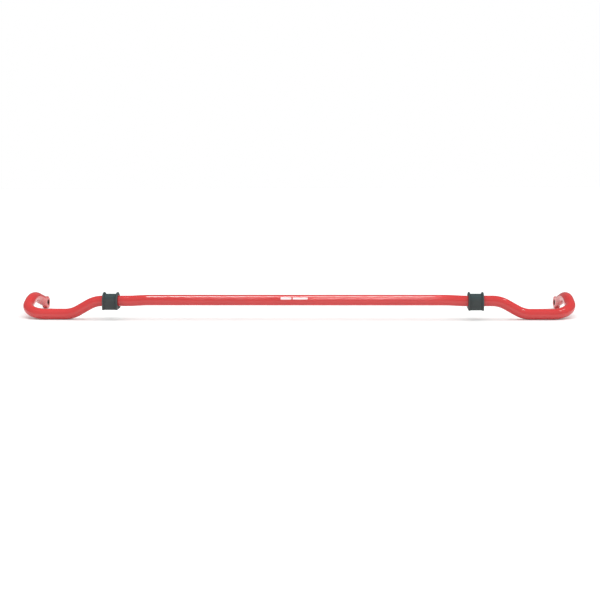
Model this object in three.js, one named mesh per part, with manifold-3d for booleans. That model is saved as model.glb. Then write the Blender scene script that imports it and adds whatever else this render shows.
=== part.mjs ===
// Sway bar with its two D-shaped bushes. Millimetres, +Z up.
// +X runs along the bar, and +Y from the main run back to the eyes.
// The origin is at the middle of the bar's length and depth, on the surface that the bar lies on.
//
// The bar is one bent piece of round steel. Its two ends are forged flat and drilled as eyes.
// Each bush stands on a straight seat between two bends, and it can slide along that seat and turn.

import * as THREE from 'three';
import { mergeVertices } from 'three/addons/utils/BufferGeometryUtils.js';
import Module from 'manifold-3d';

const wasm = await Module();
wasm.setup();

// ---- Driving dimensions ----

// Round stock
const BAR_DIAMETER = 22.5;

// Lengths along X between the corners of the centre line, from the middle outwards
const MIDDLE_HALF = 315; // half of the middle run
const STEP_RUN = 32; // shallow step down to the seat
const SEAT_RUN = 75.5; // straight seat that a bush stands on
const DROP_RUN = 49.5; // bend down to the low run
const LOW_RUN = 102.5; // low run, out to the corner where the arm begins
const ARM_SPREAD = 1.5; // the arm is highest this much further out than that corner
const EYE_TUCK = 5.5; // and its eye stands this much further in

// Heights of the centre line
const SEAT_RISE = 27.8; // seat above the low run
const STEP_RISE = 1.6; // middle run above the seat
const ARM_RISE = 28.7; // highest point of the arm above the low run

// Depths of the centre line behind the main run
const ARM_TOP_BACK = 82;
const EYE_BACK = 160;

// Bend radii of the centre line
const STEP_BEND = 100;
const DROP_BEND = 60;
const CORNER_BEND = 47;
const ARM_BEND = 88;

// Forged eye
const EYE_RIM = 2.25; // the eye's rim stands this far out of the round stock's side
const EYE_THICKNESS = 11;
const EYE_HOLE = 12;
const NECK_LENGTH = 32; // from the round stock to the centre of the eye
const NECK_PRESSED = 0.55; // share of the neck over which it is pressed flat

// Bush
const BUSH_LENGTH = 32;
const BUSH_WALL = 4; // from the bar's surface to the outside of the bush's round top
const BUSH_LIP_RISE = 3.5; // the lips stand this far out of the bush's body
const BUSH_LIP_LENGTH = 4;
const BUSH_BASE_WALL = 6; // from the underside of the bar to the flat base
const BUSH_BASE_ROUND = 2;

// Liner
const LINER_THICKNESS = 0.8;
const LINER_SETBACK = 0.8; // the liner ends short of each end of the bush
const RUNNING_CLEARANCE = 0.08; // radial, between the bar, the liner and the bush

// Where the bushes stand on their seats
const LEFT_STANDOFF = 2; // from the left bush's outer end to the bend that drops away
const RIGHT_STANDOFF = 7; // from the right bush's inner end to the shallow step
const LEFT_TURN = 0; // degrees round the bar from flat side down
const RIGHT_TURN = 4;

// ---- Derived dimensions ----

const barRadius = BAR_DIAMETER / 2;
const eyeRadius = barRadius + EYE_RIM;

// Heights. The low runs lie on the surface, and so do the rims of the eyes.
const lowHeight = barRadius;
const seatHeight = lowHeight + SEAT_RISE;
const middleHeight = seatHeight + STEP_RISE;
const armHeight = lowHeight + ARM_RISE;
const eyeHeight = eyeRadius;

// Distances out from the middle
const seatStart = MIDDLE_HALF + STEP_RUN;
const dropStart = seatStart + SEAT_RUN;
const dropEnd = dropStart + DROP_RUN;
const armFoot = dropEnd + LOW_RUN;
const armOut = armFoot + ARM_SPREAD;
const eyeOut = armFoot - EYE_TUCK;

const barSides = 24;
const boreSides = 48;
const bendStep = THREE.MathUtils.degToRad(7.5);
const weldDistance = 1e-4;
const cutExtra = 10; // a cutting rod is this much longer than what it cuts

// A round bore of straight facets is widened so that its flats clear the circle it runs on.
const facetAllowance = 1 / Math.cos(Math.PI / boreSides);
const linerBore = (barRadius + RUNNING_CLEARANCE) * facetAllowance;
const linerRadius = linerBore + LINER_THICKNESS;
const bushBore = (linerRadius + RUNNING_CLEARANCE) * facetAllowance;
const bushBodyRadius = barRadius + BUSH_WALL;
const bushLipRadius = bushBodyRadius + BUSH_LIP_RISE;
const bushBaseDrop = barRadius + BUSH_BASE_WALL; // from the bar's centre line

// ---- Solids ----

// Turns a closed mesh geometry into a solid that can be joined and cut.
function solid(geometry) {
  const bare = geometry.clone();
  bare.deleteAttribute('normal');
  bare.deleteAttribute('uv');
  const merged = mergeVertices(bare, weldDistance);
  const mesh = new wasm.Mesh({
    numProp: 3,
    vertProperties: new Float32Array(merged.attributes.position.array),
    triVerts: new Uint32Array(merged.index.array),
  });
  return new wasm.Manifold(mesh);
}

function toGeometry(manifold) {
  const mesh = manifold.getMesh();
  const geometry = new THREE.BufferGeometry();
  geometry.setAttribute('position', new THREE.BufferAttribute(mesh.vertProperties, 3));
  geometry.setIndex(new THREE.BufferAttribute(mesh.triVerts, 1));
  return geometry;
}

// A cylinder along +X, centred on the origin.
function rod(radius, length, sides) {
  return new THREE.CylinderGeometry(radius, radius, length, sides).rotateZ(-Math.PI / 2);
}

// ---- The bar's centre line ----

// Straight runs joined by round bends. Stations stand only at the ends and along the bends.
class BentPath extends THREE.Curve {
  constructor(corners, bends, closestAngle) {
    super();
    this.points = [];
    this.tangents = [];
    this.addStation(corners[0], corners[1].clone().sub(corners[0]).normalize());
    for (let i = 1; i < corners.length - 1; i += 1) {
      this.addBend(corners[i - 1], corners[i], corners[i + 1], bends[i - 1], closestAngle);
    }
    const last = corners.length - 1;
    this.addStation(corners[last], corners[last].clone().sub(corners[last - 1]).normalize());
    this.steps = this.points.length - 1;
  }

  addStation(point, tangent) {
    this.points.push(point.clone());
    this.tangents.push(tangent.clone());
  }

  addBend(before, corner, after, radius, closestAngle) {
    const inward = corner.clone().sub(before).normalize();
    const outward = after.clone().sub(corner).normalize();
    const turn = inward.angleTo(outward);
    const side = outward.clone().addScaledVector(inward, -inward.dot(outward)).normalize();
    const start = corner.clone().addScaledVector(inward, -radius * Math.tan(turn / 2));
    const centre = start.clone().addScaledVector(side, radius);
    const count = Math.max(2, Math.ceil(turn / closestAngle));
    for (let i = 0; i <= count; i += 1) {
      const angle = (turn * i) / count;
      const point = centre
        .clone()
        .addScaledVector(side, -radius * Math.cos(angle))
        .addScaledVector(inward, radius * Math.sin(angle));
      const tangent = inward
        .clone()
        .multiplyScalar(Math.cos(angle))
        .addScaledVector(side, Math.sin(angle));
      this.addStation(point, tangent);
    }
  }

  getPointAt(u) {
    return this.points[Math.round(u * this.steps)].clone();
  }

  getTangentAt(u) {
    return this.tangents[Math.round(u * this.steps)].clone();
  }
}

function armTop(side) {
  return new THREE.Vector3(side * armOut, ARM_TOP_BACK, armHeight);
}

// Corners of one half of the centre line, from the middle outwards, for side = 1 or -1.
function halfCorners(side) {
  return [
    new THREE.Vector3(side * MIDDLE_HALF, 0, middleHeight),
    new THREE.Vector3(side * seatStart, 0, seatHeight),
    new THREE.Vector3(side * dropStart, 0, seatHeight),
    new THREE.Vector3(side * dropEnd, 0, lowHeight),
    new THREE.Vector3(side * armFoot, 0, lowHeight),
    armTop(side),
  ];
}

const halfBends = [STEP_BEND, STEP_BEND, DROP_BEND, DROP_BEND, CORNER_BEND, ARM_BEND];

function eyeCentre(side) {
  return new THREE.Vector3(side * eyeOut, EYE_BACK, eyeHeight);
}

// Direction of the last straight run of the arm, towards the eye.
function armDirection(side) {
  return eyeCentre(side).sub(armTop(side)).normalize();
}

// The round stock ends where the forged neck begins.
function stockEnd(side) {
  return eyeCentre(side).addScaledVector(armDirection(side), -NECK_LENGTH);
}

// ---- Bar ----

function circle(radius, sides) {
  const points = [];
  for (let i = 0; i < sides; i += 1) {
    const angle = (2 * Math.PI * i) / sides;
    points.push(new THREE.Vector2(radius * Math.cos(angle), radius * Math.sin(angle)));
  }
  return new THREE.Shape(points);
}

function roundStock() {
  const left = [...halfCorners(-1)].reverse();
  const right = halfCorners(1);
  const corners = [stockEnd(-1), ...left, ...right, stockEnd(1)];
  const bends = [...[...halfBends].reverse(), ...halfBends];
  const path = new BentPath(corners, bends, bendStep);
  const options = { steps: path.steps, extrudePath: path };
  return solid(new THREE.ExtrudeGeometry(circle(barRadius, barSides), options));
}

// Places a shape whose +Z is along the arm and whose +X is the eye's hole, with its origin at the eye.
// The hole is level and square to the arm.
function atEye(geometry, side) {
  const along = armDirection(side);
  const hole = new THREE.Vector3(along.y, -along.x, 0).normalize();
  const upright = new THREE.Vector3().crossVectors(along, hole);
  const place = new THREE.Matrix4().makeBasis(hole, upright, along);
  place.setPosition(eyeCentre(side));
  return geometry.applyMatrix4(place);
}

// The neck is round where it leaves the stock. Towards the eye its two sides are pressed flat.
function neck(side) {
  const overlap = 1; // it starts just inside the round stock
  const rings = 8;
  const inset = 0.05; // the neck's faces lie just under the eye's
  const geometry = new THREE.CylinderGeometry(1, 1, 1, barSides, rings).rotateX(Math.PI / 2);
  const position = geometry.attributes.position;
  const flatHalf = EYE_THICKNESS / 2 - inset;
  for (let i = 0; i < position.count; i += 1) {
    const travel = position.getZ(i) + 0.5;
    const pressed = THREE.MathUtils.smoothstep(travel, 0, NECK_PRESSED);
    const halfThick = THREE.MathUtils.lerp(barRadius, flatHalf, pressed);
    const across = position.getX(i) * barRadius;
    position.setX(i, THREE.MathUtils.clamp(across, -halfThick, halfThick));
    position.setY(i, position.getY(i) * barRadius);
    position.setZ(i, THREE.MathUtils.lerp(-NECK_LENGTH - overlap, 0, travel));
  }
  return solid(atEye(geometry, side));
}

function eyePad(side) {
  return solid(atEye(rod(eyeRadius, EYE_THICKNESS, boreSides), side));
}

function eyeHole(side) {
  return solid(atEye(rod(EYE_HOLE / 2, EYE_THICKNESS + cutExtra, barSides), side));
}

function barGeometry() {
  let bar = roundStock();
  for (const side of [-1, 1]) {
    bar = bar.add(neck(side)).add(eyePad(side)).subtract(eyeHole(side));
  }
  return toGeometry(bar);
}

// ---- Bushes and liners ----

// D outline in the plane across the bar: round above, flat base below, with eased base corners.
function dOutline(radius) {
  const shape = new THREE.Shape();
  const base = -bushBaseDrop;
  const ease = BUSH_BASE_ROUND;
  shape.moveTo(radius, 0);
  shape.absarc(0, 0, radius, 0, Math.PI, false);
  shape.lineTo(-radius, base + ease);
  shape.absarc(-radius + ease, base + ease, ease, Math.PI, 1.5 * Math.PI, false);
  shape.lineTo(radius - ease, base);
  shape.absarc(radius - ease, base + ease, ease, 1.5 * Math.PI, 2 * Math.PI, false);
  return shape;
}

// Extrudes an outline drawn across the bar to a length along +X, centred on the origin.
function alongBar(shape, length, curveSegments) {
  const geometry = new THREE.ExtrudeGeometry(shape, { depth: length, bevelEnabled: false, curveSegments });
  geometry.translate(0, 0, -length / 2);
  return geometry.rotateX(Math.PI / 2).rotateZ(Math.PI / 2);
}

function bushGeometry() {
  const curveSegments = 12;
  const lipOffset = (BUSH_LENGTH - BUSH_LIP_LENGTH) / 2;
  let bush = solid(alongBar(dOutline(bushBodyRadius), BUSH_LENGTH, curveSegments));
  for (const end of [-1, 1]) {
    const lip = alongBar(dOutline(bushLipRadius), BUSH_LIP_LENGTH, curveSegments);
    bush = bush.add(solid(lip.translate(end * lipOffset, 0, 0)));
  }
  return toGeometry(bush.subtract(solid(rod(bushBore, BUSH_LENGTH + cutExtra, boreSides))));
}

function linerGeometry() {
  const length = BUSH_LENGTH - 2 * LINER_SETBACK;
  const outside = solid(rod(linerRadius, length, boreSides));
  return toGeometry(outside.subtract(solid(rod(linerBore, length + cutExtra, boreSides))));
}

// How far a bend starts before its corner, where the bar changes height by rise over run.
function bendReach(run, rise, radius) {
  return radius * Math.tan(Math.atan2(rise, run) / 2);
}

const dropReach = bendReach(DROP_RUN, SEAT_RISE, DROP_BEND);
const stepReach = bendReach(STEP_RUN, STEP_RISE, STEP_BEND);
const leftPlace = dropStart - dropReach - LEFT_STANDOFF - BUSH_LENGTH / 2;
const rightPlace = seatStart + stepReach + RIGHT_STANDOFF + BUSH_LENGTH / 2;

// ---- Materials ----

const redCoat = new THREE.MeshStandardMaterial({ color: 0xc01a1c, roughness: 0.3, metalness: 0.0 });
const blackRubber = new THREE.MeshStandardMaterial({ color: 0x3c3d3d, roughness: 0.6, metalness: 0.0 });
const linerFabric = new THREE.MeshStandardMaterial({ color: 0x8d8a80, roughness: 0.8, metalness: 0.0 });

// ---- Assembly ----

function named(name, geometry, material) {
  const mesh = new THREE.Mesh(geometry, material);
  mesh.name = name;
  return mesh;
}

function bushOnSeat(sideName, along, turnDegrees) {
  const group = new THREE.Group();
  group.add(named(`bush_${sideName}`, bushGeometry(), blackRubber.clone()));
  group.add(named(`liner_${sideName}`, linerGeometry(), linerFabric.clone()));
  group.position.set(along, 0, seatHeight);
  group.rotation.x = THREE.MathUtils.degToRad(turnDegrees);
  return group;
}

const swayBar = new THREE.Group();
swayBar.add(named('bar', barGeometry(), redCoat));
swayBar.add(bushOnSeat('left', -leftPlace, LEFT_TURN));
swayBar.add(bushOnSeat('right', rightPlace, RIGHT_TURN));

// The depth is centred on the origin, measured from the corners of the meshes themselves.
const extent = new THREE.Box3().setFromObject(swayBar, true);
swayBar.position.y = -(extent.min.y + extent.max.y) / 2;

export default swayBar;
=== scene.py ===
"""Looks of the sway bar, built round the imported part. Metres, in the frame of the CAD.

The bar, its bushes and their liners are modelled again at a high resolution and with their real
edges, and each rides on the CAD body that it stands for.
"""

import math

import bmesh
import bpy
import numpy as np
from mathutils import Matrix, Vector


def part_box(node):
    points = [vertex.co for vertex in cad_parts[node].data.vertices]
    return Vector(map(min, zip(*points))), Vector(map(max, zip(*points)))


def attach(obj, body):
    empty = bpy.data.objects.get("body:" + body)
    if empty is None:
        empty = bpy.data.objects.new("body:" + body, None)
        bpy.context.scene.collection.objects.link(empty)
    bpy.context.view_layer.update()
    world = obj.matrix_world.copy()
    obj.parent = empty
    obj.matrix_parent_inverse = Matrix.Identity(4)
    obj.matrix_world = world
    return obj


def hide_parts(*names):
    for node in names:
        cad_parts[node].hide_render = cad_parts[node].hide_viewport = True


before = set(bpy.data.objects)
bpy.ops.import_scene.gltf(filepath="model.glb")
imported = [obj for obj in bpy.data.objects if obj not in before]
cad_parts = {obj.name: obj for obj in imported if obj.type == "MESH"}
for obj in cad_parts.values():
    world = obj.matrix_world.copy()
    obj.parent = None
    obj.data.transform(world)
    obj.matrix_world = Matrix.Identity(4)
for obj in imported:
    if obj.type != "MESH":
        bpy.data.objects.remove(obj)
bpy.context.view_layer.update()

MM = 0.001

# ---- Sizes that repeat the CAD's ----

BAR_RADIUS = 11.25 * MM

# Lengths between the corners of the centre line, from the middle outwards
MIDDLE_HALF = 315 * MM
STEP_RUN = 32 * MM
SEAT_RUN = 75.5 * MM
DROP_RUN = 49.5 * MM
LOW_RUN = 102.5 * MM
ARM_SPREAD = 1.5 * MM
EYE_TUCK = 5.5 * MM

# Heights, and depths behind the main run
SEAT_RISE = 27.8 * MM
STEP_RISE = 1.6 * MM
ARM_RISE = 28.7 * MM
ARM_TOP_BACK = 82 * MM
EYE_BACK = 160 * MM

# Bend radii
STEP_BEND = 100 * MM
DROP_BEND = 60 * MM
CORNER_BEND = 47 * MM
ARM_BEND = 88 * MM

EYE_RADIUS = 13.5 * MM
EYE_HALF = 5.5 * MM
HOLE_RADIUS = 6 * MM
NECK_LENGTH = 32 * MM
NECK_PRESSED = 0.55  # share of the neck over which it is pressed flatter

BUSH_HALF = 16 * MM
BODY_RADIUS = BAR_RADIUS + 4 * MM
LIP_RADIUS = BODY_RADIUS + 3.5 * MM
LIP_LENGTH = 4 * MM
BASE_DROP = BAR_RADIUS + 6 * MM
BASE_ROUND = 2 * MM
RIGHT_TURN = math.radians(4)

# ---- Sizes that only the looks have ----

SMOOTH_ANGLE = math.radians(35)  # faces that meet at a larger angle than this show an edge
ROUND_SIDES = 96
BEND_STEP = math.radians(3)
BEND_STEPS_LEAST = 3
STRAIGHT_STEP = 24 * MM
CUT_MARGIN = 2 * MM  # how far a cutter reaches past what it cuts

# Forged ends
NECK_HALF = 5.2 * MM  # half thickness of the pressed neck, a little under the eye's
EYE_EDGE = 1.6 * MM
EYE_FILLET = 2.5 * MM
FILLET_FADE = (-9 * MM, -3 * MM)  # stretch along the arm, from the eye's centre, where it fades
STEP_TO_EYE = (-0.4 * MM, 1.2 * MM)  # stretch, from the eye's outline, where the thickness changes
HOLE_CHAMFER = 0.7 * MM
NECK_SLICES = 52
EYE_FANS = 34
RAY_LIMIT = 20 * MM
RAY_HALVINGS = 34
LEAST_REACH = 1e-6  # keeps a fillet's reach above zero

# Bushes
BASE_ROUND_LEAST = 0.3 * MM
LIP_FOOT, LIP_INNER, LIP_OUTER = 1.6 * MM, 1.4 * MM, 1.2 * MM  # radii of the lip's rounded edges
BODY_STATIONS = (0, 3.5 * MM, 7 * MM)
EDGE_STEPS = 6
FACE_SHARES = (0.25, 0.5, 0.75, 1)  # places of an end face's rings, from the lip to the bore
BORE_GAP = 0.12 * MM
BORE_CHAMFER = 0.6 * MM
SLIT_HALF = 0.25 * MM
SLIT_START = 6 * MM
SLIT_PAST_LIP = 3 * MM

# Liners
LINER_GAP = 0.09 * MM
LINER_EDGE = 0.15 * MM

# Printed strips: name, start and end from the middle in mm, lower and upper edge in degrees
# round the bar from its front
STRIPS = (
    ("print_short", -32, -9.5, 14, 39),
    ("print_long", -6.5, 24.5, 15, 37),
)
STRIP_COLUMNS, STRIP_ROWS = 28, 12
STRIP_CORNER = 0.55  # corner radius as a share of half the strip's width
STRIP_SUNK, STRIP_PROUD = 0.02 * MM, 0.06 * MM

# ---- Mesh helpers ----


def make_object(name, verts, faces):
    """A mesh object at the origin, smooth except where its faces meet at a large angle."""
    mesh = bpy.data.meshes.new(name)
    mesh.from_pydata([tuple(map(float, v)) for v in verts], [], faces)
    mesh.validate()
    mesh.update()
    obj = bpy.data.objects.new(name, mesh)
    bpy.context.scene.collection.objects.link(obj)
    soften(obj)
    return obj


def soften(obj):
    obj.data.shade_smooth()
    obj.data.set_sharp_from_angle(angle=SMOOTH_ANGLE)


def bridged(rings, start_tip=None, end_tip=None, wrap=False):
    """Vertices and faces of closed rings, each joined to the next.

    A tip closes that end with a point. Wrap joins the last ring to the first.
    """
    sides = len(rings[0])
    verts = [v for ring in rings for v in ring]
    faces = []
    count = len(rings) if wrap else len(rings) - 1
    for i in range(count):
        a, b = i * sides, ((i + 1) % len(rings)) * sides
        for k in range(sides):
            n = (k + 1) % sides
            faces.append((a + k, b + k, b + n, a + n))
    if start_tip is not None:
        verts.append(start_tip)
        tip = len(verts) - 1
        faces += [(tip, k, (k + 1) % sides) for k in range(sides)]
    if end_tip is not None:
        verts.append(end_tip)
        tip = len(verts) - 1
        last = (len(rings) - 1) * sides
        faces += [(last + (k + 1) % sides, last + k, tip) for k in range(sides)]
    return verts, faces


def outward(obj):
    """Turns the faces outwards."""
    bm = bmesh.new()
    bm.from_mesh(obj.data)
    bmesh.ops.recalc_face_normals(bm, faces=bm.faces)
    bm.to_mesh(obj.data)
    bm.free()


def cut(obj, cutter):
    """Cuts one object from another and throws the cutter away."""
    outward(cutter)
    modifier = obj.modifiers.new("cut", "BOOLEAN")
    modifier.operation = "DIFFERENCE"
    modifier.solver = "EXACT"
    modifier.object = cutter
    depsgraph = bpy.context.evaluated_depsgraph_get()
    made = bpy.data.meshes.new_from_object(obj.evaluated_get(depsgraph))
    obj.modifiers.clear()
    old, obj.data = obj.data, made
    made.name = obj.name
    bpy.data.meshes.remove(old)
    bpy.data.objects.remove(cutter)
    soften(obj)


ROUND_ANGLES = [2 * math.pi * k / ROUND_SIDES for k in range(ROUND_SIDES)]


def turned(profile, place):
    """Rings round the X axis of place, one for each (x, radius) point."""
    rings = []
    for x, radius in profile:
        points = [(x, radius * math.cos(a), radius * math.sin(a)) for a in ROUND_ANGLES]
        rings.append([place @ Vector(p) for p in points])
    return rings


def box_middle(node):
    return [(a + b) / 2 for a, b in zip(*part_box(node))]


# ---- The bar's centre line ----

axis_y = box_middle("liner_left")[1]
low_height = BAR_RADIUS
seat_height = low_height + SEAT_RISE
middle_height = seat_height + STEP_RISE
seat_start = MIDDLE_HALF + STEP_RUN
drop_start = seat_start + SEAT_RUN
drop_end = drop_start + DROP_RUN
arm_foot = drop_end + LOW_RUN
eye_out = arm_foot - EYE_TUCK


def half_corners(side):
    return [
        Vector((side * MIDDLE_HALF, axis_y, middle_height)),
        Vector((side * seat_start, axis_y, seat_height)),
        Vector((side * drop_start, axis_y, seat_height)),
        Vector((side * drop_end, axis_y, low_height)),
        Vector((side * arm_foot, axis_y, low_height)),
        Vector((side * (arm_foot + ARM_SPREAD), axis_y + ARM_TOP_BACK, low_height + ARM_RISE)),
    ]


HALF_BENDS = [STEP_BEND, STEP_BEND, DROP_BEND, DROP_BEND, CORNER_BEND, ARM_BEND]


def eye_centre(side):
    return Vector((side * eye_out, axis_y + EYE_BACK, EYE_RADIUS))


def arm_direction(side):
    return (eye_centre(side) - half_corners(side)[-1]).normalized()


def stock_end(side):
    return eye_centre(side) - arm_direction(side) * NECK_LENGTH


def bent_path(corners, bends):
    """Points and tangents along straight runs joined by round bends."""
    path = [(corners[0], (corners[1] - corners[0]).normalized())]
    for before, corner, after, radius in zip(corners, corners[1:], corners[2:], bends):
        inward = (corner - before).normalized()
        leaving = (after - corner).normalized()
        turn = inward.angle(leaving)
        side = (leaving - inward * inward.dot(leaving)).normalized()
        start = corner - inward * radius * math.tan(turn / 2)
        centre = start + side * radius
        add_straight(path, start, inward)
        count = max(BEND_STEPS_LEAST, math.ceil(turn / BEND_STEP))
        for i in range(count + 1):
            a = turn * i / count
            point = centre - side * radius * math.cos(a) + inward * radius * math.sin(a)
            path.append((point, inward * math.cos(a) + side * math.sin(a)))
    add_straight(path, corners[-1], path[-1][1])
    path.append((corners[-1], (corners[-1] - corners[-2]).normalized()))
    return path


def add_straight(path, end, tangent):
    """Evenly spaced stations between the path's last point and end, both left out."""
    start = path[-1][0]
    count = max(1, round((end - start).length / STRAIGHT_STEP))
    for i in range(1, count):
        path.append((start.lerp(end, i / count), tangent))


def carried_frames(path):
    """Two crosswise vectors at each station, carried along the path without twisting."""
    across = Vector((0, 0, 1)).cross(path[0][1]).normalized()
    frames = []
    for _, tangent in path:
        across = (across - tangent * across.dot(tangent)).normalized()
        frames.append((across, tangent.cross(across)))
    return frames


# ---- Forged ends ----


def smooth_step(low, high, value):
    t = np.clip((value - low) / (high - low), 0, 1)
    return t * t * (3 - 2 * t)


def smooth_min(a, b, reach):
    h = np.maximum(reach - np.abs(a - b), 0) / reach
    return np.minimum(a, b) - h * h * reach / 4


def smooth_max(a, b, reach):
    return -smooth_min(-a, -b, reach)


def eye_field(x, y, z):
    """Below zero inside the forged end.

    x runs along the hole and z along the arm, both from the eye's centre.
    """
    pressed = smooth_step(-NECK_LENGTH, -NECK_LENGTH * (1 - NECK_PRESSED), z)
    from_centre = np.hypot(y, z)
    inside, outside = STEP_TO_EYE
    on_eye = 1 - smooth_step(EYE_RADIUS + inside, EYE_RADIUS + outside, from_centre)
    half = BAR_RADIUS + (NECK_HALF - BAR_RADIUS) * pressed
    half = half + (EYE_HALF - half) * on_eye
    neck = np.maximum(np.hypot(x, y) - BAR_RADIUS, z)
    blend = EYE_FILLET * pressed * (1 - smooth_step(*FILLET_FADE, z))
    outline = smooth_min(neck, from_centre - EYE_RADIUS, blend + LEAST_REACH)
    return smooth_max(outline, np.abs(x) - half, EYE_EDGE * pressed + LEAST_REACH)


def surface_reach(origin, direction):
    """Distance along each ray from inside the forged end to its surface, by halving."""
    near = np.zeros(direction.shape[:-1])
    far = np.full(direction.shape[:-1], RAY_LIMIT)
    for _ in range(RAY_HALVINGS):
        middle = (near + far) / 2
        point = origin + direction * middle[..., None]
        inside = eye_field(point[..., 0], point[..., 1], point[..., 2]) < 0
        near = np.where(inside, middle, near)
        far = np.where(inside, far, middle)
    return near


def eye_place(side):
    """Matrix from the eye's own axes to the frame: X the level hole, Z along the arm."""
    along = arm_direction(side)
    hole = Vector((along.y, -along.x, 0)).normalized()
    upright = along.cross(hole)
    rows = Matrix((hole, upright, along)).transposed().to_4x4()
    rows.translation = eye_centre(side)
    return rows


def forged_end(side, ring_vectors):
    """Rings and the tip of a forged end, outwards from the round stock.

    The points of each ring stand in step with ring_vectors, which point from the stock's centre
    to its last ring.
    """
    place = eye_place(side)
    inverse = place.to_3x3().inverted()
    local = [inverse @ v for v in ring_vectors]
    angles = np.array([math.atan2(v.y, v.x) for v in local])
    flat = np.stack([np.cos(angles), np.sin(angles), np.zeros_like(angles)], -1)
    rings = []
    for i in range(1, NECK_SLICES + 1):
        origin = np.array((0, 0, -NECK_LENGTH * (1 - i / NECK_SLICES)))
        reach = surface_reach(origin, flat)
        rings.append(origin + flat * reach[:, None])
    for i in range(1, EYE_FANS):
        lean = math.pi / 2 * i / EYE_FANS
        direction = flat * math.cos(lean) + np.array((0, 0, math.sin(lean)))
        reach = surface_reach(np.zeros(3), direction)
        rings.append(direction * reach[:, None])
    tip = place @ Vector((0, 0, EYE_RADIUS))
    return [[place @ Vector(p) for p in ring] for ring in rings], tip


def hole_cutter(side):
    """The drilled hole of an eye, with the cones that break its two edges."""
    deep = EYE_HALF + CUT_MARGIN
    wide = HOLE_RADIUS + HOLE_CHAMFER + CUT_MARGIN
    lip = EYE_HALF - HOLE_CHAMFER
    profile = [(-deep, wide), (-lip, HOLE_RADIUS), (lip, HOLE_RADIUS), (deep, wide)]
    place = eye_place(side)
    tips = [place @ Vector((x, 0, 0)) for x in (-deep, deep)]
    return make_object(f"cutter_{side}", *bridged(turned(profile, place), *tips))


def make_bar():
    left, right = half_corners(-1)[::-1], half_corners(1)
    corners = [stock_end(-1), *left, *right, stock_end(1)]
    path = bent_path(corners, HALF_BENDS[::-1] + HALF_BENDS)
    frames = carried_frames(path)
    vectors = [[a * math.cos(t) + b * math.sin(t) for t in ROUND_ANGLES] for a, b in frames]
    rings = [[p + v * BAR_RADIUS for v in ring] for (p, _), ring in zip(path, vectors)]
    before, start_tip = forged_end(-1, vectors[0])
    after, end_tip = forged_end(1, vectors[-1])
    verts, faces = bridged([*before[::-1], *rings, *after], start_tip, end_tip)
    bar = make_object("bar_steel", verts, faces)
    outward(bar)
    for side in (-1, 1):
        cut(bar, hole_cutter(side))
    return bar


# ---- Bushes and liners ----


def d_section(radius, inset):
    """(y, z) points round the D: round above, flat base below, lower corners eased."""
    arc, wall, corner, base_count = 60, 10, 7, 26
    radius = radius - inset
    base = -BASE_DROP + inset
    ease = max(BASE_ROUND - inset, BASE_ROUND_LEAST)
    points = []
    for k in range(arc):
        a = math.pi * k / arc
        points.append((radius * math.cos(a), radius * math.sin(a)))
    for k in range(wall):
        points.append((-radius, (base + ease) * k / wall))
    for k in range(corner):
        a = math.pi + math.pi / 2 * k / corner
        points.append((-radius + ease + ease * math.cos(a), base + ease + ease * math.sin(a)))
    for k in range(base_count):
        points.append((-radius + ease + 2 * (radius - ease) * k / base_count, base))
    for k in range(corner):
        a = 1.5 * math.pi + math.pi / 2 * k / corner
        points.append((radius - ease + ease * math.cos(a), base + ease + ease * math.sin(a)))
    for k in range(wall):
        points.append((radius, (base + ease) * (1 - k / wall)))
    return points


def half_profile():
    """Stations of half a bush from its middle to its end face: (x, radius, inset)."""
    lip_start = BUSH_HALF - LIP_LENGTH
    quarter = [math.pi / 2 * k / EDGE_STEPS for k in range(EDGE_STEPS + 1)]
    stations = [(x, BODY_RADIUS, 0) for x in BODY_STATIONS]
    for a in quarter:
        x = lip_start - LIP_FOOT + LIP_FOOT * math.sin(a)
        stations.append((x, BODY_RADIUS + LIP_FOOT - LIP_FOOT * math.cos(a), 0))
    for a in quarter:
        x = lip_start + LIP_INNER - LIP_INNER * math.cos(a)
        stations.append((x, LIP_RADIUS - LIP_INNER + LIP_INNER * math.sin(a), 0))
    for a in quarter:
        x = BUSH_HALF - LIP_OUTER + LIP_OUTER * math.sin(a)
        stations.append((x, LIP_RADIUS, LIP_OUTER - LIP_OUTER * math.cos(a)))
    return stations


def face_ring(x, share, radius):
    """The lip's outline at x, drawn in towards a circle: 0 leaves it, 1 makes it round."""
    ring = []
    for y, z in d_section(LIP_RADIUS, LIP_OUTER):
        reach = math.hypot(y, z)
        scale = (reach + (radius - reach) * share) / reach
        ring.append((x, y * scale, z * scale))
    return ring


def slit_cutter(place):
    """A thin slab from the bore out through the back of a bush."""
    reach = LIP_RADIUS + SLIT_PAST_LIP
    corners = []
    for x in (-1, 1):
        for y in (SLIT_START, reach):
            for z in (-SLIT_HALF, SLIT_HALF):
                corners.append(place @ Vector((x * (BUSH_HALF + CUT_MARGIN), y, z)))
    faces = [(0, 1, 3, 2), (4, 6, 7, 5), (0, 4, 5, 1), (2, 3, 7, 6), (0, 2, 6, 4), (1, 5, 7, 3)]
    return make_object("slit_cutter", corners, faces)


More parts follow.
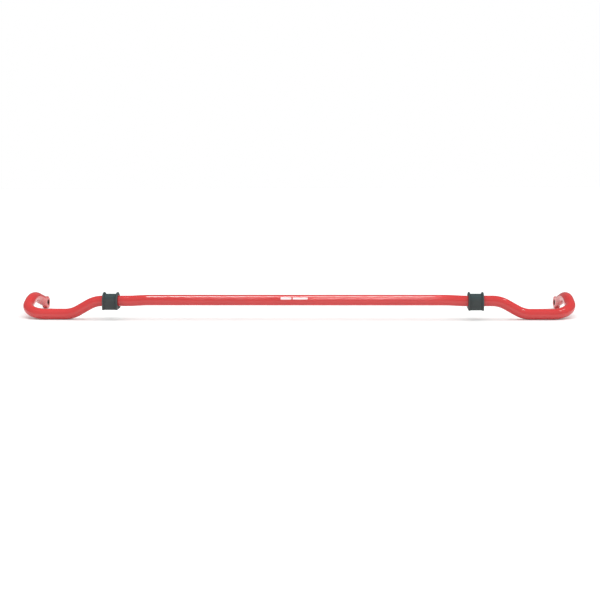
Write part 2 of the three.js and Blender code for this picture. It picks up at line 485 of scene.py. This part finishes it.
def make_bush(name, liner_node, turn):
    """A slit bush round the liner in its bore, turned about the bar."""
    low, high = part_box(liner_node)
    bore = (high[2] - low[2]) / 2 + BORE_GAP
    place = Matrix.Translation(box_middle(liner_node)) @ Matrix.Rotation(turn, 4, "X")
    end = BUSH_HALF
    rings = []
    stations = half_profile()
    for x, radius, inset in [(-x, r, i) for x, r, i in stations[:0:-1]] + stations:
        rings.append([(x, y, z) for y, z in d_section(radius, inset)])
    for share in FACE_SHARES:
        rings.append(face_ring(end, share, bore + BORE_CHAMFER))
    for x in (end - BORE_CHAMFER, end / 3, -end / 3, -end + BORE_CHAMFER):
        rings.append(face_ring(x, 1, bore))
    for share in FACE_SHARES[::-1]:
        rings.append(face_ring(-end, share, bore + BORE_CHAMFER))
    rings = [[place @ Vector(p) for p in ring] for ring in rings]
    bush = make_object(name, *bridged(rings, wrap=True))
    outward(bush)
    cut(bush, slit_cutter(place))
    return bush


def make_liner(name, node):
    low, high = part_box(node)
    half = (high[0] - low[0]) / 2
    outer = (high[2] - low[2]) / 2
    inner = BAR_RADIUS + LINER_GAP
    profile = [
        (-half, inner + LINER_EDGE),
        (-half, outer - LINER_EDGE),
        (-half + LINER_EDGE, outer),
        (0, outer),
        (half - LINER_EDGE, outer),
        (half, outer - LINER_EDGE),
        (half, inner + LINER_EDGE),
        (half - LINER_EDGE, inner),
        (0, inner),
        (-half + LINER_EDGE, inner),
    ]
    rings = turned(profile, Matrix.Translation(box_middle(node)))
    liner = make_object(name, *bridged(rings, wrap=True))
    outward(liner)
    return liner


# ---- Printed strips ----


def make_strip(name, start, end, low_angle, high_angle):
    """A thin plain patch on the middle run with rounded corners, curved with the bar."""
    columns, rows = STRIP_COLUMNS, STRIP_ROWS
    middle = (start + end) / 2
    half_length = (end - start) / 2
    half_width = BAR_RADIUS * (high_angle - low_angle) / 2
    middle_angle = (low_angle + high_angle) / 2
    corner = half_width * STRIP_CORNER

    def edge_half(x):
        """Half width of the rounded rectangle at x from its middle."""
        past = abs(x) - (half_length - corner)
        if past <= 0:
            return half_width
        return half_width - corner + math.sqrt(max(corner**2 - past**2, 0))

    verts = []
    for radius in (BAR_RADIUS - STRIP_SUNK, BAR_RADIUS + STRIP_PROUD):
        for c in range(columns + 1):
            x = -math.cos(math.pi * c / columns) * half_length
            reach = edge_half(x)
            for r in range(rows + 1):
                angle = middle_angle + (2 * r / rows - 1) * reach / BAR_RADIUS
                y = axis_y - radius * math.cos(angle)
                verts.append((middle + x, y, middle_height + radius * math.sin(angle)))

    def at(layer, c, r):
        return (layer * (columns + 1) + c) * (rows + 1) + r

    faces = []
    for c in range(columns):
        n = c + 1
        for r in range(rows):
            faces.append((at(1, c, r), at(1, n, r), at(1, n, r + 1), at(1, c, r + 1)))
            faces.append((at(0, c, r), at(0, c, r + 1), at(0, n, r + 1), at(0, n, r)))
        faces.append((at(0, c, 0), at(0, n, 0), at(1, n, 0), at(1, c, 0)))
        faces.append((at(0, c, rows), at(1, c, rows), at(1, n, rows), at(0, n, rows)))
    last = columns
    for r in range(rows):
        faces.append((at(0, 0, r), at(1, 0, r), at(1, 0, r + 1), at(0, 0, r + 1)))
        faces.append((at(0, last, r), at(0, last, r + 1), at(1, last, r + 1), at(1, last, r)))
    strip = make_object(name, verts, faces)
    outward(strip)
    return strip


# ---- Materials ----

# Scene-linear colours. A pair is the two ends of a noise pattern.
COAT_TONES = (0.50, 0.021, 0.022), (0.545, 0.027, 0.027)
# Paler coat along the eyes' rims: partly rubbed coat, partly painted highlight
COAT_RUBBED_AND_HIGHLIGHT = (0.72, 0.16, 0.14)
# Painted shade: a dark tone for the wall of each eye's hole
HOLE_PAINTED_SHADE = (0.070, 0.026, 0.024), (0.110, 0.042, 0.038)
RUBBER_TONES = (0.040, 0.040, 0.040), (0.047, 0.047, 0.047)
# Painted shade and sheen: a darker, bluer tone for the tops of the bushes
RUBBER_TOP_PAINTED_SHADE_AND_SHEEN = (0.022, 0.033, 0.035)
RUBBER_WORN = (0.06, 0.065, 0.066)
RUBBER_GLOSS = (0.75, 1.0, 1.0)
LINER_TONES = (0.30, 0.285, 0.25), (0.52, 0.50, 0.45)
PRINT_TONES = (0.70, 0.60, 0.61), (0.78, 0.68, 0.69)
FLOOR_TONES = (0.725, 0.725, 0.72), (0.745, 0.745, 0.74)
FLOOR_GLOW = 0.10  # the floor is a light table, lit a little from below

NOISE_SPAN = (0.3, 0.7)  # where most of a noise pattern's values lie
PRINT_SPAN = (0.35, 0.65)  # a little narrower, for more contrast
PATCH_SPAN = (0.42, 0.62)  # breaks the wear and painted highlight on the coat into patches
UPWARD_SPAN = (0.15, 0.6)  # Z of the normal, over which the painted shade and sheen of the top comes in


class Nodes:
    """Short ways to add and join a material's nodes."""

    def __init__(self, name):
        self.material = bpy.data.materials.new(name)
        self.material.use_nodes = True
        self.tree = self.material.node_tree
        self.shader = self.tree.nodes["Principled BSDF"]
        self.place = self.add("ShaderNodeTexCoord").outputs["Object"]

    def add(self, kind, **values):
        node = self.tree.nodes.new(kind)
        for key, value in values.items():
            setattr(node, key, value)
        return node

    def join(self, a, b):
        self.tree.links.new(a, b)

    def noise(self, scale, detail, roughness=0.5):
        node = self.add("ShaderNodeTexNoise")
        node.inputs["Scale"].default_value = scale
        node.inputs["Detail"].default_value = detail
        node.inputs["Roughness"].default_value = roughness
        self.join(self.place, node.inputs["Vector"])
        return node.outputs["Fac"]

    def wave(self, direction, scale, distortion):
        node = self.add("ShaderNodeTexWave", bands_direction=direction)
        node.inputs["Scale"].default_value = scale
        node.inputs["Distortion"].default_value = distortion
        self.join(self.place, node.inputs["Vector"])
        return node.outputs["Fac"]

    def upward(self):
        """Height of the surface's normal, from -1 to 1, in the object's own axes."""
        normal = self.add("ShaderNodeTexCoord").outputs["Normal"]
        parts = self.add("ShaderNodeSeparateXYZ")
        self.join(normal, parts.inputs["Vector"])
        return parts.outputs["Z"]

    def remap(self, value, span, to=(0, 1)):
        node = self.add("ShaderNodeMapRange")
        for key, number in zip(("From Min", "From Max", "To Min", "To Max"), (*span, *to)):
            node.inputs[key].default_value = number
        self.join(value, node.inputs["Value"])
        return node.outputs["Result"]

    def times(self, a, b):
        node = self.add("ShaderNodeMath", operation="MULTIPLY")
        self.join(a, node.inputs[0])
        self.join(b, node.inputs[1])
        return node.outputs[0]

    def mix(self, factor, a, b):
        node = self.add("ShaderNodeMix", data_type="RGBA")
        self.join(factor, node.inputs["Factor"])
        for slot, value in (("A", a), ("B", b)):
            socket = [s for s in node.inputs if s.name == slot and s.type == "RGBA"][0]
            if isinstance(value, tuple):
                socket.default_value = (*value, 1)
            else:
                self.join(value, socket)
        return [s for s in node.outputs if s.type == "RGBA"][0]

    def bump(self, height, distance, strength, under=None):
        node = self.add("ShaderNodeBump")
        node.inputs["Distance"].default_value = distance
        node.inputs["Strength"].default_value = strength
        self.join(height, node.inputs["Height"])
        if under:
            self.join(under, node.inputs["Normal"])
        return node.outputs["Normal"]

    def attribute(self, name):
        return self.add("ShaderNodeAttribute", attribute_name=name).outputs["Fac"]

    def color(self, value):
        self.join(value, self.shader.inputs["Base Color"])

    def rough(self, value):
        self.join(value, self.shader.inputs["Roughness"])

    def normal(self, value):
        self.join(value, self.shader.inputs["Normal"])


def red_coat():
    n = Nodes("red_powder_coat")
    broad = n.noise(scale=9, detail=3)
    fine = n.noise(scale=260, detail=2)
    tone = n.mix(n.remap(broad, NOISE_SPAN), *COAT_TONES)
    patch = n.remap(n.noise(scale=700, detail=3), PATCH_SPAN)
    # Paler rims, partly wear and partly painted highlight
    coated = n.mix(n.times(n.attribute("wear"), patch), tone, COAT_RUBBED_AND_HIGHLIGHT)
    # Painted shade: the wall of each hole, found by the bore values, is coloured dark
    shaded_hole = n.mix(fine, *HOLE_PAINTED_SHADE)
    n.color(n.mix(n.attribute("bore"), coated, shaded_hole))
    n.shader.inputs["Specular IOR Level"].default_value = 0.68
    n.rough(n.remap(fine, NOISE_SPAN, to=(0.07, 0.12)))
    peel = n.noise(scale=420, detail=2, roughness=0.45)
    n.normal(n.bump(peel, distance=0.12 * MM, strength=0.03))
    return n.material


def bush_rubber():
    n = Nodes("moulded_rubber")
    side = n.mix(n.remap(n.noise(scale=60, detail=3), NOISE_SPAN), *RUBBER_TONES)
    # Painted shade and sheen: faces that look up take the top's darker, bluer tone
    tone = n.mix(n.remap(n.upward(), UPWARD_SPAN), side, RUBBER_TOP_PAINTED_SHADE_AND_SHEEN)
    worn = n.remap(n.attribute("wear"), (0, 1), to=(0, 0.6))
    n.color(n.mix(worn, tone, RUBBER_WORN))
    n.rough(n.remap(n.noise(scale=900, detail=3), NOISE_SPAN, to=(0.55, 0.68)))
    n.shader.inputs["Specular IOR Level"].default_value = 0.3
    n.shader.inputs["Specular Tint"].default_value = (*RUBBER_GLOSS, 1)
    fine = n.noise(scale=2600, detail=3, roughness=0.6)
    grain = n.bump(fine, distance=0.04 * MM, strength=0.5)
    ripple = n.noise(scale=140, detail=2)
    n.normal(n.bump(ripple, distance=0.2 * MM, strength=0.25, under=grain))
    return n.material


def liner_fabric():
    n = Nodes("woven_liner")
    along = n.wave("X", scale=420, distortion=0.6)
    cross = n.wave("DIAGONAL", scale=300, distortion=0.6)
    weave = n.times(along, cross)
    n.color(n.mix(weave, *LINER_TONES))
    n.rough(n.remap(weave, (0, 1), to=(0.9, 0.7)))
    n.normal(n.bump(weave, distance=0.1 * MM, strength=0.6))
    return n.material


def white_print():
    n = Nodes("white_print")
    fine = n.noise(scale=1500, detail=3)
    n.color(n.mix(n.remap(fine, PRINT_SPAN), *PRINT_TONES))
    n.rough(n.remap(fine, NOISE_SPAN, to=(0.35, 0.5)))
    n.normal(n.bump(n.noise(scale=900, detail=2), distance=0.04 * MM, strength=0.4))
    return n.material


def pale_floor():
    n = Nodes("pale_floor")
    broad = n.noise(scale=3, detail=2)
    n.color(n.mix(n.remap(broad, NOISE_SPAN), *FLOOR_TONES))
    n.shader.inputs["Emission Color"].default_value = (1, 1, 1, 1)
    n.shader.inputs["Emission Strength"].default_value = FLOOR_GLOW
    n.rough(n.remap(broad, NOISE_SPAN, to=(0.75, 0.85)))
    n.shader.inputs["Specular IOR Level"].default_value = 0.2
    return n.material


# ---- Wear, painted rim highlight and painted hole shade, stored at the vertices ----

RIM_WEAR_AND_HIGHLIGHT = 1.3 * MM  # width of the wear and painted highlight along an eye's rims
BORE_SLACK = 0.2 * MM
EYE_ZONE_X, EYE_ZONE_Y = 40 * MM, 30 * MM  # an eye's wear and painted highlight stay within these of its centre
LIP_WEAR_FROM_END, LIP_WEAR = 0.8 * MM, 1.6 * MM  # middle and half width of the wear on a lip
BASE_ZONE, BASE_WEAR = 2.5 * MM, 0.4  # height and amount of the wear at a bush's base

eye_inverse = {side: eye_place(side).inverted() for side in (-1, 1)}


def paint(obj, name, amount):
    """Stores a value from 0 to 1 at each vertex, from a function of its place."""
    layer = obj.data.attributes.new(name, "FLOAT", "POINT")
    layer.data.foreach_set("value", [amount(v.co) for v in obj.data.vertices])


def in_eye(point):
    """The point in the axes of the nearer eye, and its distance from that eye's hole axis."""
    local = eye_inverse[1 if point.x > 0 else -1] @ point
    return local, math.hypot(local.y, local.z)


def eye_wear_and_highlight(point):
    """Wear and painted highlight along the rims of an eye and of its hole."""
    if abs(point.x) < eye_out - EYE_ZONE_X or point.y < axis_y + EYE_BACK - EYE_ZONE_Y:
        return 0.0
    local, reach = in_eye(point)
    off_face = EYE_HALF - abs(local.x)
    rim = math.hypot(reach - EYE_RADIUS, off_face)
    hole = math.hypot(reach - HOLE_RADIUS - HOLE_CHAMFER, off_face)
    return max(0.0, 1 - min(rim, hole) / RIM_WEAR_AND_HIGHLIGHT)


def eye_hole_shade(point):
    """1 on the drilled wall of an eye's hole, which is coloured with a dark painted shade, and 0
    elsewhere.
    """
    return 1.0 if in_eye(point)[1] < HOLE_RADIUS + BORE_SLACK else 0.0


def bush_wear(middle):
    """Wear along the lips and at the base of the bush whose middle is at x = middle."""

    def amount(point):
        if point.z < seat_height - BASE_DROP + BASE_ZONE:
            return BASE_WEAR
        if math.hypot(point.y - axis_y, point.z - seat_height) <= BODY_RADIUS:
            return 0.0
        from_end = BUSH_HALF - abs(point.x - middle)
        return max(0.0, 1 - abs(from_end - LIP_WEAR_FROM_END) / LIP_WEAR)

    return amount


# ---- Pieces ----

bar = make_bar()
# On the bar the wear values also carry a painted highlight along the eyes' rims
paint(bar, "wear", eye_wear_and_highlight)
# The bore values mark where the hole's wall gets its painted shade
paint(bar, "bore", eye_hole_shade)
bar.data.materials.append(red_coat())
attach(bar, "bar")
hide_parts("bar")

rubber = bush_rubber()
fabric = liner_fabric()
for side_name, turn in (("left", 0.0), ("right", RIGHT_TURN)):
    bush = make_bush(f"rubber_bush_{side_name}", f"liner_{side_name}", turn)
    paint(bush, "wear", bush_wear(box_middle(f"bush_{side_name}")[0]))
    bush.data.materials.append(rubber)
    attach(bush, f"mount_{side_name}")
    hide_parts(f"bush_{side_name}")

    liner = make_liner(f"woven_liner_{side_name}", f"liner_{side_name}")
    liner.data.materials.append(fabric)
    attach(liner, f"sleeve_{side_name}")
    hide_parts(f"liner_{side_name}")

printing = white_print()
for name, start, end, low, high in STRIPS:
    strip = make_strip(name, start * MM, end * MM, math.radians(low), math.radians(high))
    strip.data.materials.append(printing)
    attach(strip, "bar")

# ---- Floor ----

FLOOR_HALF = 6.0
FLOOR_CELLS = 24
FLOOR_DROP = 0.02 * MM  # keeps the floor clear of the bar's lowest line


def make_floor():
    cells = FLOOR_CELLS
    spots = [FLOOR_HALF * (2 * i / cells - 1) for i in range(cells + 1)]
    verts = [(x, y, -FLOOR_DROP) for x in spots for y in spots]
    faces = []
    for i in range(cells):
        for k in range(cells):
            a = i * (cells + 1) + k
            faces.append((a, a + cells + 1, a + cells + 2, a + 1))
    floor = make_object("floor", verts, faces)
    floor.data.materials.append(pale_floor())


make_floor()

# ---- Light ----

COOL_WHITE = (0.97, 1.0, 1.0)
FRONT_GLOW = 0.74  # strength of the world's light from the front, and from the back
BACK_GLOW = 0.32
GLOW_TURN = (-0.5, 0.6)  # Y of the direction, from fully the front's glow to fully the back's

SOFTBOX_ELEVATION = 94  # degrees above the front horizon, so just behind the zenith
SOFTBOX_SPREAD = 110
SOFTBOX_DISTANCE = 3.0
SOFTBOX_X = 0.6
SOFTBOX_STRENGTH = 3.6

# Lights parallel to the bar: name, x, elevation in degrees, length, width, power
STRIP_DISTANCE = 2.5
STRIP_LIGHTS = (
    ("high_strip", -0.14, 86, 1.24, 0.20, 36),
    ("front_strip", 0.21, 39, 0.52, 0.10, 8),
    ("side_strip", -0.38, 36, 0.34, 0.10, 1.5),
)

# Lights beyond the right end, for the spots on the S-bend and the corner: name and place
END_LIGHTS = (
    ("end_light_front", (1.57, -0.55, 1.91)),
    ("end_light_back", (1.57, 0.15, 1.91)),
)
END_AIM = (0.5, axis_y, 0.03)
END_LENGTH, END_WIDTH, END_POWER = 0.35, 0.08, 2.0


def studio_world():
    """White to the camera. Its light is brighter from the front than from behind."""
    world = bpy.data.worlds.new("studio")
    world.use_nodes = True
    tree = world.node_tree
    background = tree.nodes["Background"]
    background.inputs["Color"].default_value = (*COOL_WHITE, 1)
    direction = tree.nodes.new("ShaderNodeTexCoord")
    parts = tree.nodes.new("ShaderNodeSeparateXYZ")
    tree.links.new(direction.outputs["Generated"], parts.inputs["Vector"])
    ramp = tree.nodes.new("ShaderNodeMapRange")
    keys = ("From Min", "From Max", "To Min", "To Max")
    for key, number in zip(keys, (*GLOW_TURN, FRONT_GLOW, BACK_GLOW)):
        ramp.inputs[key].default_value = number
    tree.links.new(parts.outputs["Y"], ramp.inputs["Value"])
    tree.links.new(ramp.outputs["Result"], background.inputs["Strength"])
    white = tree.nodes.new("ShaderNodeBackground")
    white.inputs["Color"].default_value = (1, 1, 1, 1)
    path = tree.nodes.new("ShaderNodeLightPath")
    choice = tree.nodes.new("ShaderNodeMixShader")
    tree.links.new(path.outputs["Is Camera Ray"], choice.inputs["Fac"])
    tree.links.new(background.outputs["Background"], choice.inputs[1])
    tree.links.new(white.outputs["Background"], choice.inputs[2])
    tree.links.new(choice.outputs["Shader"], tree.nodes["World Output"].inputs["Surface"])
    bpy.context.scene.world = world


def lamp_object(name, data, place, aim):
    """A lamp at place, turned to face aim. The camera doesn't see it."""
    lamp = bpy.data.objects.new(name, data)
    lamp.location = place
    lamp.rotation_euler = (Vector(aim) - Vector(place)).to_track_quat("-Z", "Y").to_euler()
    lamp.visible_camera = False
    bpy.context.scene.collection.objects.link(lamp)
    return lamp


def softbox():
    """A wide soft light above the object. It lights the surfaces and shows in no gloss."""
    data = bpy.data.lights.new("softbox", "SUN")
    data.angle = math.radians(SOFTBOX_SPREAD)
    data.energy = SOFTBOX_STRENGTH
    data.color = COOL_WHITE
    a = math.radians(SOFTBOX_ELEVATION)
    place = (SOFTBOX_X, -SOFTBOX_DISTANCE * math.cos(a), SOFTBOX_DISTANCE * math.sin(a))
    lamp_object("softbox", data, place, (0, 0, 0)).visible_glossy = False


def gloss_light(name, place, aim, length, width, power):
    """A rectangular light that is seen only in the gloss of the object."""
    data = bpy.data.lights.new(name, "AREA")
    data.shape = "RECTANGLE"
    data.size, data.size_y = length, width
    data.energy = power
    lamp_object(name, data, place, aim).visible_diffuse = False


studio_world()
softbox()
for name, x, elevation, length, width, power in STRIP_LIGHTS:
    a = math.radians(elevation)
    y = axis_y - STRIP_DISTANCE * math.cos(a)
    z = seat_height + STRIP_DISTANCE * math.sin(a)
    gloss_light(name, (x, y, z), (x, axis_y, seat_height), length, width, power)
for name, place in END_LIGHTS:
    gloss_light(name, place, END_AIM, END_LENGTH, END_WIDTH, END_POWER)

# ---- Camera ----

DISTANCE = 2.4
YAW = 0.0386
ELEVATION = 0.1402
ROLL = -0.0052
LENS = 69.02
SENSOR = 36
TARGET = Vector((0.0081, axis_y, 0.0410))

back = Vector(
    (
        math.sin(YAW) * math.cos(ELEVATION),
        -math.cos(YAW) * math.cos(ELEVATION),
        math.sin(ELEVATION),
    )
)
right = Vector((0, 0, 1)).cross(back).normalized()
up = back.cross(right)
rolled_right = right * math.cos(ROLL) + up * math.sin(ROLL)
rolled_up = up * math.cos(ROLL) - right * math.sin(ROLL)
pose = Matrix((rolled_right, rolled_up, back)).transposed().to_4x4()
pose.translation = TARGET + back * DISTANCE
camera_data = bpy.data.cameras.new("camera")
camera_data.lens = LENS
camera_data.sensor_width = SENSOR
camera = bpy.data.objects.new("camera", camera_data)
camera.matrix_world = pose
bpy.context.scene.collection.objects.link(camera)
bpy.context.scene.camera = camera
bpy.context.scene.view_settings.view_transform = "Standard"
